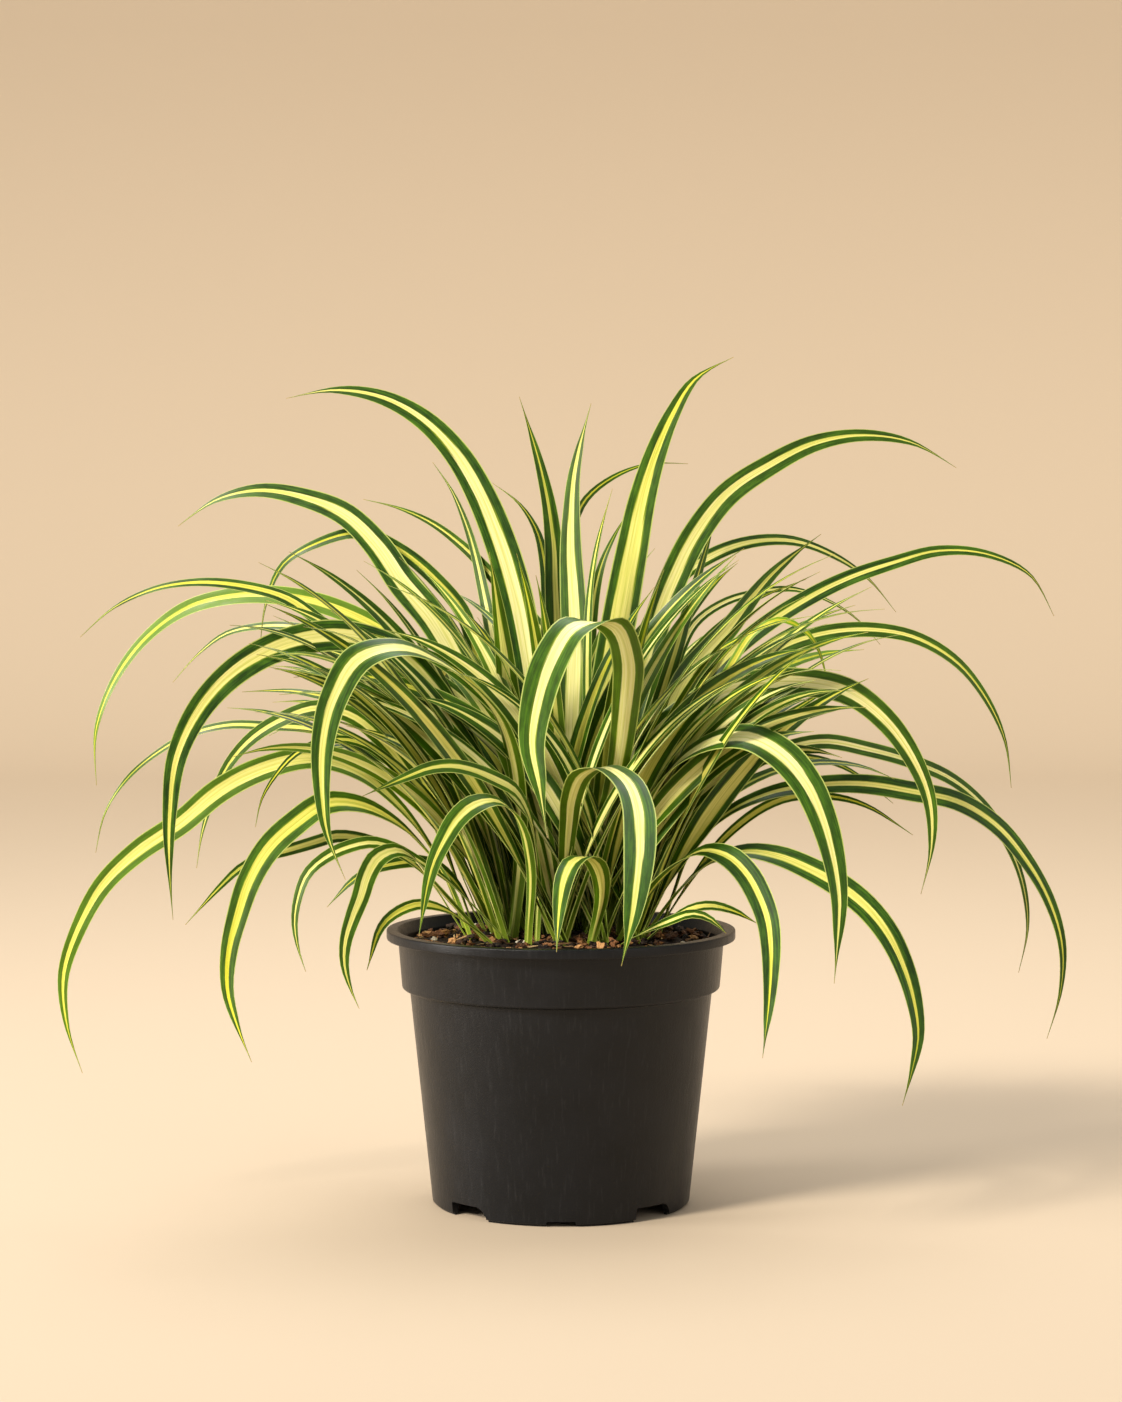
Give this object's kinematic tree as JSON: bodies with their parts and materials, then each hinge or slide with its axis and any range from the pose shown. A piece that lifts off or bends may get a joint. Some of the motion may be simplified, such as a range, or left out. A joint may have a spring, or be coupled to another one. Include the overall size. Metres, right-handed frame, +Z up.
{
  "type": "potted carex",
  "caption": "Variegated sedge with long arching cream-striped green leaves, growing in potting mix in a round dark nursery pot.",
  "frame": {"origin": "centre of the pot's base, on the surface that it stands on", "axes": "+Z up, +X towards the plant's right seen from its front, -Y towards its front"},
  "size_m": [0.4911, 0.3706, 0.4134],
  "materials": {
    "pot_plastic": "moulded charcoal polypropylene, fine satin grain",
    "potting_mix": "dark moist potting mix with bark chips and perlite",
    "leaf": "leathery striped blade, green margins and a cream to yellow middle, soft sheen"
  },
  "bodies": {
    "root": {"pot": "pot_plastic", "potting_mix": "potting_mix", "leaf_tall_left_broad": "leaf", "leaf_tall_left_reaching": "leaf", "leaf_tall_left_slender": "leaf", "leaf_tall_left_inner": "leaf", "leaf_tall_centre_back": "leaf", "leaf_tall_centre_left": "leaf", "leaf_tall_centre": "leaf", "leaf_tall_centre_right": "leaf", "leaf_tall_right_slim": "leaf", "leaf_tall_right_broad": "leaf", "leaf_tall_right_thread": "leaf", "leaf_high_right_arch": "leaf", "leaf_right_upright_slim": "leaf", "leaf_right_upright_broad": "leaf", "leaf_right_thread": "leaf", "leaf_left_far_thread": "leaf", "leaf_left_far_arch": "leaf", "leaf_left_back_thread": "leaf", "leaf_left_back_slim": "leaf", "leaf_left_big_arch": "leaf", "leaf_left_shoulder": "leaf", "leaf_left_falling": "leaf", "leaf_left_falling_thread": "leaf", "leaf_left_low_thread": "leaf", "leaf_left_lowest_arch": "leaf", "leaf_front_left_fold": "leaf", "leaf_front_left_low_broad": "leaf", "leaf_front_left_mid": "leaf", "leaf_front_left_short_arch": "leaf", "leaf_front_left_hook": "leaf", "leaf_front_left_thread": "leaf", "leaf_left_low_back_slim": "leaf", "leaf_left_low_short": "leaf", "leaf_front_left_edge": "leaf", "leaf_front_centre_fold": "leaf", "leaf_front_centre_broad": "leaf", "leaf_front_centre_short": "leaf", "leaf_right_far_arch": "leaf", "leaf_right_outer_arch": "leaf", "leaf_right_back_arch": "leaf", "leaf_right_back_thread": "leaf", "leaf_right_big_arch": "leaf", "leaf_right_inner_thread": "leaf", "leaf_right_shoulder_slim": "leaf", "leaf_right_shoulder_back": "leaf", "leaf_right_low_thread": "leaf", "leaf_right_low_back": "leaf", "leaf_far_right_arch": "leaf", "leaf_far_right_back_slim": "leaf", "leaf_front_right_fold": "leaf", "leaf_front_right_low_broad": "leaf", "leaf_front_right_hook": "leaf", "leaf_front_right_short": "leaf", "leaf_front_right_stub": "leaf", "leaf_back_arch_left": "leaf", "leaf_back_arch_centre": "leaf", "leaf_back_arch_right": "leaf", "leaf_back_low": "leaf"}
  },
  "joints": []
}
